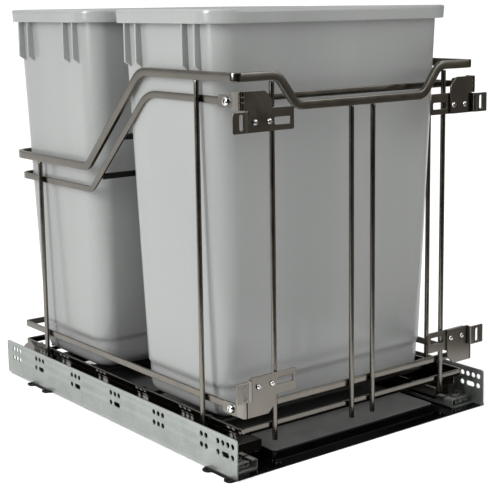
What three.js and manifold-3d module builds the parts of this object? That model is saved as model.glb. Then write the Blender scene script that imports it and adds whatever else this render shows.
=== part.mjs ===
// Pull-out waste unit for a kitchen base cabinet: two bins in a wire-and-bar
// carriage that rolls forward on a pair of bottom-mounted full-extension slides.
// Millimetres. x across, y front (door side, 0) to back, z up from the cabinet
// floor. The whole is moved at the end so that its footprint is centred on 0,0.
import * as THREE from 'three';
import { mergeVertices } from 'three/addons/utils/BufferGeometryUtils.js';
import Module from 'manifold-3d';

const wasm = await Module();
wasm.setup();

// ---------------------------------------------------------------- dimensions
const DEPTH = 533;              // length of the cabinet profiles
const GAP = 0.3;                // air between neighbouring pieces

const PROFILE_X = 197.5;        // outer face of the cabinet profile
const PROFILE_T = 1.5;
const PROFILE_Z0 = 2;
const PROFILE_Z1 = 48;
const PROFILE_IN = 156.7;       // inboard edge of its bottom flange
const FLANGE_Y0 = 16;
const HOLE_ROW_TOP = 38.5;
const HOLE_ROW_LOW = 26;
const HOLE_R = 3.2;

const BASE_T = 2;               // base pan sheet
const BASE_Y0 = 4;
const BASE_LEN = 461;
const EAR_SPAN = 53;            // over the two ears at either end
const EAR_X = 206;
const DECK_X = 131.5;           // raised middle of the pan
const DECK_TOP = 14;

const RUNNER_X0 = 140;
const RUNNER_X1 = 176;
const RUNNER_Z0 = 15;
const RUNNER_Z1 = 29.5;
const RUNNER_Y0 = 29.5;
const RUNNER_Y1 = 525;
const MEMBER_Y0 = 32;           // front end of the middle slide member

const LOOP_X = 177.5;           // outer half width of the two base loops
const LOOP_Y0 = 18.3;
const LOOP_Y1 = 515;
const LOOP_T = 3;
const LOOP_H = 8;
const LOWER_LOOP_TOP = 50.5;
const UPPER_LOOP_TOP = 76.5;

const TOP_X = 184;              // top rail, a flat bar on edge
const TOP_T = 6;
const TOP_H = 10;
const TOP_Y0 = 12;
const TOP_Y1 = 521;
const TOP_HIGH = 436;           // centre line heights
const TOP_DIP = 402;
const TOP_LOW = 313;

const SEC_X = 177.7;            // second rail
const SEC_T = 3;
const SEC_H = 8;
const SEC_Y0 = 21;
const SEC_Y1 = 515;
const SEC_HIGH = 410.5;
const SEC_LOW = 283.5;
const SEC_BAR_Y = 45;

const ROD_R = 3;
const ROD_Z0 = 30;
const ROD_X = 132.5;
const ROD_MID_X = 16.6;
const ROD_Y = 15;
const SIDE_ROD_X = 181;
const SIDE_ROD_Y = [85, 446];
const REAR_ROD_Y = LOOP_Y1 + GAP + ROD_R;

const BIN_Y = 153.8;            // centre of the front bin
const BIN_PITCH = 261;
const BIN_HX = 177;             // wall, at the underside of the rim
const BIN_HY = 98;
const BIN_R = 28;
const BIN_Z0 = 40.5;
const BIN_RIM_Z0 = 491;
const BIN_Z1 = 507;
const BIN_TAPER = 0.033;
const BIN_WALL = 2.6;
const RIM_HX = 187;
const RIM_HY = 109.5;
const RIM_R = 38;

// ------------------------------------------------------------------- helpers
function solid(geometry) {
  let g = geometry.clone();
  g.deleteAttribute('normal');
  g.deleteAttribute('uv');
  g = mergeVertices(g, 1e-4);
  const index = g.index.array;
  const p = g.attributes.position.array;
  const tri = [];
  let volume = 0;
  for (let i = 0; i < index.length; i += 3) {
    const [a, b, c] = [index[i], index[i + 1], index[i + 2]];
    if (a === b || b === c || c === a) continue;
    tri.push(a, b, c);
    const A = new THREE.Vector3().fromArray(p, 3 * a);
    const B = new THREE.Vector3().fromArray(p, 3 * b);
    const C = new THREE.Vector3().fromArray(p, 3 * c);
    volume += A.dot(B.cross(C)) / 6;
  }
  if (volume < 0) {
    for (let i = 0; i < tri.length; i += 3) [tri[i], tri[i + 1]] = [tri[i + 1], tri[i]];
  }
  return new wasm.Manifold(new wasm.Mesh({
    numProp: 3,
    vertProperties: Float32Array.from(p),
    triVerts: Uint32Array.from(tri),
  }));
}

function geometryOf(manifold) {
  const m = manifold.getMesh();
  const g = new THREE.BufferGeometry();
  const n = m.vertProperties.length / m.numProp;
  const pos = new Float32Array(3 * n);
  for (let i = 0; i < n; i++) {
    for (let k = 0; k < 3; k++) pos[3 * i + k] = m.vertProperties[m.numProp * i + k];
  }
  g.setAttribute('position', new THREE.BufferAttribute(pos, 3));
  g.setIndex(new THREE.BufferAttribute(Uint32Array.from(m.triVerts), 1));
  g.computeVertexNormals();
  return g;
}

const union = (...s) => s.reduce((a, b) => a.add(b));

function shapeOf(points, holes = []) {
  const s = new THREE.Shape(points.map(([a, b]) => new THREE.Vector2(a, b)));
  for (const h of holes) s.holes.push(new THREE.Path(h.map(([a, b]) => new THREE.Vector2(a, b))));
  return s;
}

const extrudeOptions = (depth) => ({ depth, bevelEnabled: false, curveSegments: 8 });

function alongZ(shape, z0, z1) {
  const g = new THREE.ExtrudeGeometry(shape, extrudeOptions(z1 - z0));
  g.translate(0, 0, z0);
  return solid(g);
}

function alongY(shape, y0, y1) {          // the shape lies in the x-z plane
  const g = new THREE.ExtrudeGeometry(shape, extrudeOptions(y1 - y0));
  g.rotateX(Math.PI / 2);
  g.translate(0, y1, 0);
  return solid(g);
}

function alongX(shape, x0, x1) {          // the shape lies in the y-z plane
  const g = new THREE.ExtrudeGeometry(shape, extrudeOptions(x1 - x0));
  g.applyMatrix4(new THREE.Matrix4().makeBasis(
    new THREE.Vector3(0, 1, 0), new THREE.Vector3(0, 0, 1), new THREE.Vector3(1, 0, 0)));
  g.translate(x0, 0, 0);
  return solid(g);
}

function block(x0, x1, y0, y1, z0, z1) {
  const g = new THREE.BoxGeometry(Math.abs(x1 - x0), y1 - y0, z1 - z0);
  g.translate((x0 + x1) / 2, (y0 + y1) / 2, (z0 + z1) / 2);
  return solid(g);
}

function circle(cx, cy, r, n = 8) {
  const out = [];
  for (let i = 0; i < n; i++) {
    const a = (2 * Math.PI * (i + 0.5)) / n;
    out.push([cx + r * Math.cos(a), cy + r * Math.sin(a)]);
  }
  return out;
}

function roundRect(x0, x1, y0, y1, r, n = 3) {
  const out = [];
  const corner = (cx, cy, a0) => {
    for (let i = 0; i <= n; i++) {
      const a = a0 + (Math.PI / 2) * (i / n);
      out.push([cx + r * Math.cos(a), cy + r * Math.sin(a)]);
    }
  };
  corner(x1 - r, y0 + r, -Math.PI / 2);
  corner(x1 - r, y1 - r, 0);
  corner(x0 + r, y1 - r, Math.PI / 2);
  corner(x0 + r, y0 + r, Math.PI);
  return out;
}

// Rounded rectangle with its own corner radius at the front and at the back.
function loopOutline(hx, y0, y1, rFront, rBack, n = 5) {
  const out = [];
  const corner = (cx, cy, r, a0) => {
    for (let i = 0; i <= n; i++) {
      const a = a0 + (Math.PI / 2) * (i / n);
      out.push([cx + r * Math.cos(a), cy + r * Math.sin(a)]);
    }
  };
  corner(hx - rFront, y0 + rFront, rFront, -Math.PI / 2);
  corner(hx - rBack, y1 - rBack, rBack, 0);
  corner(-hx + rBack, y1 - rBack, rBack, Math.PI / 2);
  corner(-hx + rFront, y0 + rFront, rFront, Math.PI);
  return out;
}

function ring(hx, y0, y1, rFront, rBack, t, z0, z1) {
  const outer = loopOutline(hx, y0, y1, rFront, rBack);
  const inner = loopOutline(hx - t, y0 + t, y1 - t, Math.max(rFront - t, 1), Math.max(rBack - t, 1));
  return alongZ(shapeOf(outer, [inner]), z0, z1);
}

// A band of height h about a line of points, its corners rounded to radii.
function band(points, radii, h, n = 5) {
  const line = [];
  const push = (x, y, nx, ny) => line.push([x, y, nx, ny]);
  for (let i = 0; i < points.length; i++) {
    const p = points[i];
    if (i === 0 || i === points.length - 1) {
      const q = i === 0 ? points[1] : points[i - 1];
      const s = i === 0 ? 1 : -1;
      const d = [(q[0] - p[0]) * s, (q[1] - p[1]) * s];
      const l = Math.hypot(...d);
      push(p[0], p[1], -d[1] / l, d[0] / l);
      continue;
    }
    const a = points[i - 1];
    const b = points[i + 1];
    const u = [p[0] - a[0], p[1] - a[1]];
    const v = [b[0] - p[0], b[1] - p[1]];
    const lu = Math.hypot(...u);
    const lv = Math.hypot(...v);
    const au = Math.atan2(u[1], u[0]);
    let turn = Math.atan2(v[1], v[0]) - au;
    if (turn > Math.PI) turn -= 2 * Math.PI;
    if (turn < -Math.PI) turn += 2 * Math.PI;
    const r = radii[i - 1];
    const t = r * Math.tan(Math.abs(turn) / 2);
    if (t > lu || t > lv) throw new Error('bend radius too large');
    const side = Math.sign(turn);
    const start = [p[0] - (u[0] / lu) * t, p[1] - (u[1] / lu) * t];
    const c = [start[0] - (u[1] / lu) * r * side, start[1] + (u[0] / lu) * r * side];
    for (let k = 0; k <= n; k++) {
      const ang = au + (turn * k) / n;
      const nx = -Math.sin(ang);
      const ny = Math.cos(ang);
      push(c[0] - nx * r * side, c[1] - ny * r * side, nx, ny);
    }
  }
  const up = line.map(([x, y, nx, ny]) => [x + (nx * h) / 2, y + (ny * h) / 2]);
  const down = line.map(([x, y, nx, ny]) => [x - (nx * h) / 2, y - (ny * h) / 2]).reverse();
  return shapeOf([...up, ...down]);
}

// Mirror a solid across the plane x = 0.
function mirrored(manifold) {
  const g = geometryOf(manifold);
  g.scale(-1, 1, 1);
  return solid(g);
}

const sides = [['left', -1], ['right', 1]];
const sided = (s, manifold) => (s < 0 ? mirrored(manifold) : manifold);

function cylinderZ(r, z0, z1, n = 12) {
  const g = new THREE.CylinderGeometry(r, r, z1 - z0, n);
  g.rotateX(Math.PI / 2);
  g.translate(0, 0, (z0 + z1) / 2);
  return solid(g);
}

function cylinderX(r, x0, x1, n = 8) {
  const g = new THREE.CylinderGeometry(r, r, x1 - x0, n);
  g.rotateZ(Math.PI / 2);
  g.translate((x0 + x1) / 2, 0, 0);
  return solid(g);
}

// Pan-head screw or rivet: head outward along +z from z = 0, shank below it.
function panScrew(rHead, hHead, rShank, length, n = 10) {
  const pts = [
    [0, -length], [rShank, -length], [rShank, 0], [rHead, 0],
    [rHead, hHead * 0.45], [rHead * 0.72, hHead * 0.88], [rHead * 0.3, hHead], [0, hHead],
  ].map(([a, b]) => new THREE.Vector2(a, b));
  const g = new THREE.LatheGeometry(pts, n);
  g.rotateX(Math.PI / 2);
  return solid(g);
}

// ----------------------------------------------------------------- materials
const material = (color, roughness, metalness) =>
  new THREE.MeshStandardMaterial({ color, roughness, metalness });
const ZINC = material(0xc6cdc8, 0.42, 0.85);
const NICKEL = material(0x6f6c66, 0.3, 0.9);
const BLACK = material(0x0b0b0c, 0.12, 0.1);
const CHROME = material(0xe6e6e8, 0.08, 1);
const PLASTIC = material(0xbfc2be, 0.5, 0);
const NYLON = material(0xd9d9d2, 0.6, 0);

const object = new THREE.Group();
const unit = new THREE.Group();
unit.position.set(0, -DEPTH / 2, 0);
object.add(unit);

const groups = {};
for (const g of ['base', 'intermediates', 'carriage', 'brackets', 'bins']) {
  groups[g] = new THREE.Group();
  unit.add(groups[g]);
}

function add(group, name, manifold, mat, at = [0, 0, 0], turn = null) {
  const mesh = new THREE.Mesh(geometryOf(manifold), mat);
  mesh.name = name;
  mesh.position.set(...at);
  if (turn) mesh.rotation.set(...turn);
  groups[group].add(mesh);
}

// ---------------------------------------------------- cabinet profiles (fixed)
const topRow = [8.2, 16.8, 26, 35, 57.1, 65.9, 143.2, 152.3, 161.5, 239.2, 247.9, 257.4,
  334.8, 344.1, 353.4, 430.6, 440, 449.4, 497, 505.4, 514];
const lowRow = [8.5, 35, 57.1, 65.9, 143.2, 152.3, 161.5, 257.7, 353.6, 450.2, 497, 505.4, 514];
const lowSlots = [21.4, 243.8, 339.4, 436];
const RIVET_X = 165.5;
const RIVET_Y = 30;

function profile() {
  const holes = [
    ...topRow.map((y) => circle(y, HOLE_ROW_TOP, HOLE_R)),
    ...lowRow.map((y) => circle(y, HOLE_ROW_LOW, HOLE_R)),
    ...lowSlots.map((y) => roundRect(y - 6.8, y + 6.8, HOLE_ROW_LOW - 3.1, HOLE_ROW_LOW + 3.1, 2.8, 2)),
  ];
  const plate = alongX(
    shapeOf(roundRect(0, DEPTH, PROFILE_Z0, PROFILE_Z1, 3.5), holes),
    PROFILE_X - PROFILE_T, PROFILE_X);
  const floor = alongZ(
    shapeOf([[PROFILE_IN, FLANGE_Y0], [PROFILE_X - 0.4, FLANGE_Y0], [PROFILE_X - 0.4, DEPTH - 4], [PROFILE_IN, DEPTH - 4]],
      [circle(RIVET_X, RIVET_Y, 2.1)]),
    PROFILE_Z0, PROFILE_Z0 + PROFILE_T);
  const lip = block(PROFILE_IN, PROFILE_IN + PROFILE_T, FLANGE_Y0, DEPTH - 4, PROFILE_Z0, 14);
  const hook = block(PROFILE_IN, PROFILE_IN + 7.8, FLANGE_Y0, DEPTH - 4, 12.5, 14);
  return union(plate, floor, lip, hook);
}
for (const [side, s] of sides) add('base', `${side}_cabinet_profile`, sided(s, profile()), ZINC);

// --------------------------------------------------- base pan (fixed, sheet)
function basePan() {
  const L = BASE_LEN;
  const w = 13;                         // width of one ear
  const r = 5;
  const edge = 200.2;
  const waist = 188;                    // set back under the profile between the ears
  const ears = (y0) => [
    [EAR_X - r, y0], [EAR_X - 1.5, y0 + 1.5], [EAR_X, y0 + r], [EAR_X, y0 + w - r], [EAR_X - 1.5, y0 + w - 1.5],
    [EAR_X - r, y0 + w], [edge, y0 + w + 0.8], [edge, y0 + EAR_SPAN - w - 0.8],
    [EAR_X - r, y0 + EAR_SPAN - w], [EAR_X - 1.5, y0 + EAR_SPAN - w + 1.5], [EAR_X, y0 + EAR_SPAN - w + r],
    [EAR_X, y0 + EAR_SPAN - r], [EAR_X - 1.5, y0 + EAR_SPAN - 1.5], [EAR_X - r, y0 + EAR_SPAN],
  ];
  const right = [...ears(0), [waist, EAR_SPAN + 6], [waist, L - EAR_SPAN - 6], ...ears(L - EAR_SPAN)];
  const left = right.map(([x, y]) => [-x, y]).reverse();
  const holes = [];
  for (const sx of [-1, 1]) {
    for (const y of [w / 2, EAR_SPAN - w / 2, L - EAR_SPAN + w / 2, L - w / 2]) holes.push(circle(sx * 202.2, y, 2.1));
    holes.push(circle(sx * RIVET_X, RIVET_Y - BASE_Y0, 2.1));
  }
  const sheet = alongZ(shapeOf([...right, ...left], holes), 0, BASE_T);
  // deck pressed up between the slides, open underneath
  const t = DECK_TOP;
  const out = alongX(shapeOf([[15.5, 0.2], [17, 1.9], [17.8, t - 1.6], [19.3, t],
    [L - 19.3, t], [L - 17.8, t - 1.6], [L - 17, 1.9], [L - 15.5, 0.2]]), -DECK_X, DECK_X);
  const inn = alongX(shapeOf([[19.4, -1], [20, t - 3], [21, t - 2],
    [L - 21, t - 2], [L - 20, t - 3], [L - 19.4, -1]]), 2 - DECK_X, DECK_X - 2);
  // low round buttons pressed into the front strip
  const button = new THREE.LatheGeometry([[0, 0], [6.4, 0], [6.4, 3.4], [5.6, 5.6], [3.4, 6.8], [0, 7.2]]
    .map(([a, c]) => new THREE.Vector2(a, c)), 14);
  button.rotateX(Math.PI / 2);
  button.translate(0, 6.6, 0.6);
  const b = solid(button);
  return union(sheet, out, b.translate([132, 0, 0]), b.translate([-132, 0, 0])).subtract(inn);
}
add('base', 'base_pan', basePan(), BLACK, [0, BASE_Y0, 0]);

for (const [side, s] of sides) {
  add('base', `${side}_profile_rivet`, panScrew(3, 1.4, 1.7, 3.4, 10), ZINC,
    [s * RIVET_X, RIVET_Y, PROFILE_Z0 + PROFILE_T + GAP]);
}

// ------------------------------------- telescopic members and roller cages
function intermediate() {
  const section = [
    [167, 8.2], [193, 8.2], [193, 14], [191.5, 14], [191.5, 9.7], [168.5, 9.7], [168.5, 21.7],
    [170, 21.7], [170, 23.2], [146, 23.2], [146, 21.7], [167, 21.7],
  ];
  return alongY(shapeOf(section), MEMBER_Y0, 520);
}
// Front stop of the middle member, clipped into its channel.
function endCap() {
  const face = alongY(shapeOf(roundRect(166, 194.3, 5.6, 12.1, 1.5, 2),
    [circle(171.2, 8.8, 1.6), circle(189, 8.8, 1.6)]), 19.5, MEMBER_Y0 - GAP);
  return face.add(block(169, 191, MEMBER_Y0 - 1.5, 44, 10.1, 12.1));
}
function cage(x0, x1, zc, r, y0, y1, pitch) {
  let c = block(x0, x1, y0, y1, zc - 0.6, zc + 0.6);
  for (let y = y0 + 12; y < y1 - 8; y += pitch) {
    c = c.add(cylinderX(r, x0 + 1.5, x1 - 1.5).translate([0, y, zc]));
  }
  return c;
}
for (const [side, s] of sides) {
  add('intermediates', `${side}_intermediate_member`, sided(s, intermediate()), ZINC);
  add('intermediates', `${side}_intermediate_end_cap`, sided(s, endCap()), ZINC);
  add('intermediates', `${side}_lower_roller_cage`, sided(s, cage(172, 190, 5.85, 2, 130, 390, 59)), NYLON);
  add('intermediates', `${side}_upper_roller_cage`, sided(s, cage(148, 168, 25.6, 2.1, 150, 394, 55)), NYLON);
}

// -------------------------------------------------- runners on the carriage
function runner() {
  const section = [
    [RUNNER_X0, RUNNER_Z0], [RUNNER_X0 + 1.5, RUNNER_Z0], [RUNNER_X0 + 1.5, RUNNER_Z1 - 1.5],
    [RUNNER_X1 - 1.5, RUNNER_Z1 - 1.5], [RUNNER_X1 - 1.5, RUNNER_Z0], [RUNNER_X1, RUNNER_Z0],
    [RUNNER_X1, RUNNER_Z1], [RUNNER_X0, RUNNER_Z1],
  ];
  const end = block(RUNNER_X0, RUNNER_X1, RUNNER_Y0, RUNNER_Y0 + 1.5, RUNNER_Z0, RUNNER_Z1);
  // outer side carried up to the lower loop
  const top = LOWER_LOOP_TOP - LOOP_H - GAP;
  const web = alongX(shapeOf([[RUNNER_Y0, RUNNER_Z1 - 3], [RUNNER_Y1, RUNNER_Z1 - 3], [RUNNER_Y1, 36.5], [RUNNER_Y1 - 8, top],
    [RUNNER_Y0 + 6, top], [RUNNER_Y0, 36.5]]), RUNNER_X1 - 1.5, RUNNER_X1);
  return alongY(shapeOf(section), RUNNER_Y0, RUNNER_Y1).add(end).add(web);
}
for (const [side, s] of sides) add('carriage', `${side}_runner`, sided(s, runner()), NICKEL);

// --------------------------------------------------------------- base loops
const SCREW_Y = 30.5;           // side screws of the door brackets
function baseLoop(top, screwZ) {
  let loop = ring(LOOP_X, LOOP_Y0, LOOP_Y1, 5, 5, LOOP_T, top - LOOP_H, top);
  if (screwZ) loop = loop.subtract(cylinderX(2.3, -190, 190, 10).translate([0, SCREW_Y, screwZ]));
  return loop;
}
add('carriage', 'lower_base_loop', baseLoop(LOWER_LOOP_TOP, 0), NICKEL);
add('carriage', 'upper_base_loop', baseLoop(UPPER_LOOP_TOP, UPPER_LOOP_TOP - LOOP_H / 2), NICKEL);

// ----------------------------------------------------------------- top rail
function topRail() {
  const hoop = ring(TOP_X, TOP_Y0, TOP_Y1, 10, 28, TOP_T, 280, 460);
  const front = alongY(band(
    [[-200, TOP_HIGH], [-124, TOP_HIGH], [-98, TOP_DIP], [98, TOP_DIP], [124, TOP_HIGH], [200, TOP_HIGH]],
    [18, 18, 18, 18], TOP_H), 0, 60);
  const flank = alongX(band(
    [[59, TOP_HIGH], [196, TOP_HIGH], [321, TOP_LOW], [540, TOP_LOW]], [32, 20], TOP_H), -200, 200);
  return hoop.intersect(union(front, flank));
}
add('carriage', 'top_rail', topRail(), NICKEL);

// -------------------------------------------------------------- second rail
function secondRail() {
  const hoop = ring(SEC_X, -60, SEC_Y1, 5, 21, SEC_T, 260, 440);
  const flank = alongX(band(
    [[SEC_Y0, SEC_HIGH], [190, SEC_HIGH], [321, SEC_LOW], [540, SEC_LOW]], [45, 20], SEC_H), -200, 200);
  return hoop.intersect(flank).subtract(cylinderX(2.3, -190, 190, 10).translate([0, SCREW_Y, SEC_HIGH]));
}
add('carriage', 'second_rail', secondRail(), NICKEL);
add('carriage', 'second_rail_front_bar',
  block(-(SEC_X - SEC_T - GAP), SEC_X - SEC_T - GAP, SEC_BAR_Y, SEC_BAR_Y + SEC_T,
    SEC_HIGH - SEC_H / 2, SEC_HIGH + SEC_H / 2), NICKEL);
// two bars across the space between the bins
for (const [name, y0, z0, z1] of [['middle_cross_bar', 252.5, 351, 358], ['rear_cross_bar', 295.5, 298.5, 306]]) {
  add('carriage', `second_rail_${name}`, block(-(SEC_X - SEC_T - GAP), SEC_X - SEC_T - GAP, y0, y0 + SEC_T, z0, z1), NICKEL);
}

// --------------------------------------------------------------------- rods
const rods = [
  ['front_outer_rod', ROD_X, ROD_Y, TOP_HIGH - TOP_H / 2 - GAP - 0.6],
  ['front_inner_rod', ROD_MID_X, ROD_Y, TOP_DIP - TOP_H / 2 - GAP],
  ['side_front_rod', SIDE_ROD_X, SIDE_ROD_Y[0], TOP_HIGH - TOP_H / 2 - GAP],
  ['side_rear_rod', SIDE_ROD_X, SIDE_ROD_Y[1], TOP_LOW - TOP_H / 2 - GAP],
  ['back_rod', ROD_X, REAR_ROD_Y, TOP_LOW - TOP_H / 2 - GAP],
];
for (const [name, x, y, top] of rods) {
  for (const [side, s] of sides) {
    add('carriage', `${side}_${name}`, cylinderZ(ROD_R, 0, top - ROD_Z0), NICKEL, [s * x, y, ROD_Z0]);
  }
}

// ------------------------------------------- wires and straps under the bins
const WIRE_R = 2.8;
const WIRE_Z = BIN_Z0 - GAP - WIRE_R;
const elbow = (r) => solid(new THREE.SphereGeometry(r, 12, 8));
// Cradle wire: runs under the bin, its ends turned up inside the lower loop.
function cradleWire() {
  const x = LOOP_X - LOOP_T - GAP - WIRE_R;
  return cylinderX(WIRE_R, -x, x)
    .add(cylinderZ(WIRE_R, 0, 49 - WIRE_Z).translate([x, 0, 0]))
    .add(cylinderZ(WIRE_R, 0, 49 - WIRE_Z).translate([-x, 0, 0]))
    .add(elbow(WIRE_R).translate([x, 0, 0]))
    .add(elbow(WIRE_R).translate([-x, 0, 0]));
}
[['front_bin_front_wire', 85], ['front_bin_rear_wire', 222], ['rear_bin_front_wire', 346], ['rear_bin_rear_wire', 483]]
  .forEach(([name, y]) => add('carriage', name, cradleWire(), NICKEL, [0, y, WIRE_Z]));
function strap() {
  const x = LOOP_X - LOOP_T - GAP;
  return alongY(shapeOf([
    [-x, 50], [-x, RUNNER_Z1 + GAP], [x, RUNNER_Z1 + GAP], [x, 50], [x - 2, 50], [x - 2, RUNNER_Z1 + GAP + 2],
    [-x + 2, RUNNER_Z1 + GAP + 2], [-x + 2, 50],
  ]), 0, 25);
}
add('carriage', 'front_runner_strap', strap(), NICKEL, [0, 112, 0]);
// the rear one carries a wall that closes the space between the runners
const strapWall = block(RUNNER_X0 * -1 + 2, RUNNER_X0 - 2, 12, 14, 16, BIN_Z0 - 1);
add('carriage', 'rear_runner_strap', strap().add(strapWall), NICKEL, [0, 448, 0]);

// ------------------------------------------------------------ door brackets
// Drawn for the upper right one. f maps its heights; the lower ones hang the
// other way up.
const PLATE_Y0 = 7.2;
const PLATE_Y1 = 9.2;
const ARM_Y0 = PLATE_Y1 + GAP;
const ARM_Y1 = 11.7;
const TAB_Y0 = 1.3;
const FLANGE_X0 = 179.3;
const FLANGE_X1 = 181.5;
const plateScrewX = [142, 161.5];
const BRACKET_TOP = { z: (v) => v, screwZ: SEC_HIGH, flip: false };
const BRACKET_LOW = { z: (v) => 487.5 - v, screwZ: UPPER_LOOP_TOP - LOOP_H / 2, flip: true };

function bracketPlate(b) {
  const z = b.z;
  const zz = (a, c) => (b.flip ? [z(c), z(a)] : [z(a), z(c)]);
  const main = alongY(shapeOf([
    [137.5, z(377.5)], [174.2, z(377.5)], [174.2, z(401.5)], [FLANGE_X1, z(401.5)], [FLANGE_X1, z(421.5)],
    [147.5, z(421.5)], [137.5, z(411.5)],
  ], plateScrewX.map((x) => circle(x, z(388.3), 2.1))), PLATE_Y0, PLATE_Y1);
  const [t0, t1] = zz(378, 401);
  const slot = zz(381.5, 398.3);
  const tab = alongY(shapeOf(roundRect(174.6, 195, t0, t1, 1.2, 2),
    [roundRect(181.7, 186.7, slot[0], slot[1], 2.3, 3)]), TAB_Y0, TAB_Y0 + 2);
  const joggle = block(172.4, 176, TAB_Y0 + 0.2, PLATE_Y1, t0 + 0.4, t1 - 0.4);
  const [f0, f1] = zz(401.5, 421.5);
  const flange = block(FLANGE_X0, FLANGE_X1, PLATE_Y0, 21, f0, f1);
  const tongue = alongX(shapeOf(
    roundRect(19, 46, b.screwZ - 7, b.screwZ + 7, 4, 3), [circle(SCREW_Y, b.screwZ, 2.5, 10)]),
  FLANGE_X0, FLANGE_X1);
  return union(main, joggle, tab, flange, tongue);
}
function bracketArm(b) {
  const z = b.z;
  const [a0, a1] = b.flip ? [z(402.5), z(377.5)] : [z(377.5), z(402.5)];
  const [s0, s1] = b.flip ? [z(392), z(384)] : [z(384), z(392)];
  return alongY(shapeOf(roundRect(105.8, 169.5, a0, a1, 2, 2),
    [roundRect(110, 133, s0, s1, 2, 2), ...plateScrewX.map((x) => circle(x, z(388.3), 2.1))]), ARM_Y0, ARM_Y1);
}
for (const [level, b] of [['upper', BRACKET_TOP], ['lower', BRACKET_LOW]]) {
  for (const [side, s] of sides) {
    add('brackets', `${level}_${side}_door_bracket`, sided(s, bracketPlate(b)), NICKEL);
    add('brackets', `${level}_${side}_bracket_arm`, sided(s, bracketArm(b)), NICKEL);
    add('brackets', `${level}_${side}_bracket_side_screw`, panScrew(5, 3, 2, 6, 12), CHROME,
      [s * (FLANGE_X1 + GAP), SCREW_Y, b.screwZ], [0, (s * Math.PI) / 2, 0]);
    ['inner', 'outer'].forEach((which, i) => {
      add('brackets', `${level}_${side}_bracket_${which}_screw`, panScrew(3.2, 2, 1.7, 4.6, 10), CHROME,
        [s * plateScrewX[i], PLATE_Y0 - GAP, b.z(388.3)], [Math.PI / 2, 0, 0]);
    });
  }
}

// --------------------------------------------------------------------- bins
function binOutline(hx, hy, r, bow, n = 5) {
  const out = [];
  const corner = (cx, cy, a0) => {
    for (let i = 0; i <= n; i++) {
      const a = a0 + (Math.PI / 2) * (i / n);
      out.push([cx + r * Math.cos(a), cy + r * Math.sin(a)]);
    }
  };
  corner(hx - r, -hy + r, -Math.PI / 2);
  corner(hx - r, hy - r, 0);
  for (const f of [0.5, 0, -0.5]) out.push([(hx - r) * f, hy + bow * (1 - f * f)]);
  corner(-hx + r, hy - r, Math.PI / 2);
  corner(-hx + r, -hy + r, Math.PI);
  for (const f of [-0.5, 0, 0.5]) out.push([(hx - r) * f, -hy - bow * (1 - f * f)]);
  return out;
}

// Stack of the same outline at several heights, each drawn in by its own inset.
function stacked(hx, hy, r, bow, levels) {
  const n = levels.length - 1;
  const g = new THREE.ExtrudeGeometry(shapeOf(binOutline(hx, hy, r, bow)), { depth: n, steps: n, bevelEnabled: false });
  const p = g.attributes.position;
  for (let i = 0; i < p.count; i++) {
    const [z, inset] = levels[Math.round(p.getZ(i))];
    p.setXYZ(i, (p.getX(i) * (hx - inset)) / hx, (p.getY(i) * (hy - inset)) / hy, z);
  }
  return solid(g);
}

function bin() {
  const taper = (z) => BIN_TAPER * (BIN_RIM_Z0 - z);
  const foot = [[0, 17], [1.2, 11.4], [4, 6.6], [8.8, 2.8], [16, 1.4], [37, 1.4], [42.5, 0]];
  const outer = stacked(BIN_HX, BIN_HY, BIN_R, 1.5, [
    ...foot.map(([dz, d]) => [BIN_Z0 + dz, taper(BIN_Z0 + dz) + d]),
    [BIN_Z1, taper(BIN_Z1)],
  ]);
  const w = BIN_WALL;
  const inner = stacked(BIN_HX, BIN_HY, BIN_R, 1.5, [
    [BIN_Z0 + w, taper(BIN_Z0 + w) + 17 + 0.6],
    [BIN_Z0 + w + 3.8, taper(BIN_Z0 + w) + 6.8 + w],
    [BIN_Z0 + w + 13.5, taper(BIN_Z0 + w) + 1.4 + w],
    [BIN_Z0 + 37, taper(BIN_Z0 + 37) + 1.4 + w],
    [BIN_Z0 + 42.5, taper(BIN_Z0 + 42.5) + w],
    [BIN_Z1 + 1, taper(BIN_Z1 + 1) + w],
  ]);
  const rim = stacked(RIM_HX, RIM_HY, RIM_R, 3, [[BIN_RIM_Z0, 0.6], [BIN_Z1 - 1.6, 0], [BIN_Z1, 1.4]]);
  const groove = stacked(RIM_HX, RIM_HY, RIM_R, 3, [[BIN_RIM_Z0 - 5, 3], [BIN_Z1 - 2.6, 2.4]]);
  let body = rim.subtract(groove).add(outer);
  const fin = shapeOf([[168, 438], [175, 442], [184, 446.5], [184, BIN_Z1 - 2], [168, BIN_Z1 - 2]]);
  const finLeft = shapeOf([[-168, 438], [-168, BIN_Z1 - 2], [-184, BIN_Z1 - 2], [-184, 446.5], [-175, 442]]);
  for (const y of [-70, -46.5, 46.5, 70]) {
    body = body.add(alongY(fin, y - 1.5, y + 1.5)).add(alongY(finLeft, y - 1.5, y + 1.5));
  }
  return body.subtract(inner);
}
add('bins', 'front_bin', bin(), PLASTIC, [0, BIN_Y, 0]);
add('bins', 'rear_bin', bin(), PLASTIC, [0, BIN_Y + BIN_PITCH, 0]);

export default object;
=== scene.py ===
"""Looks of the pull-out waste unit: every visible piece is rebuilt as a rounded,
finely divided mesh in the place of its CAD node, with a procedural material.
Lengths in the helpers are millimetres, with y counted from the front edge of
the slide profiles; W() takes them to the frame."""
import bpy
import bmesh
import math
import numpy as np
from mathutils import Vector, Matrix


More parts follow.
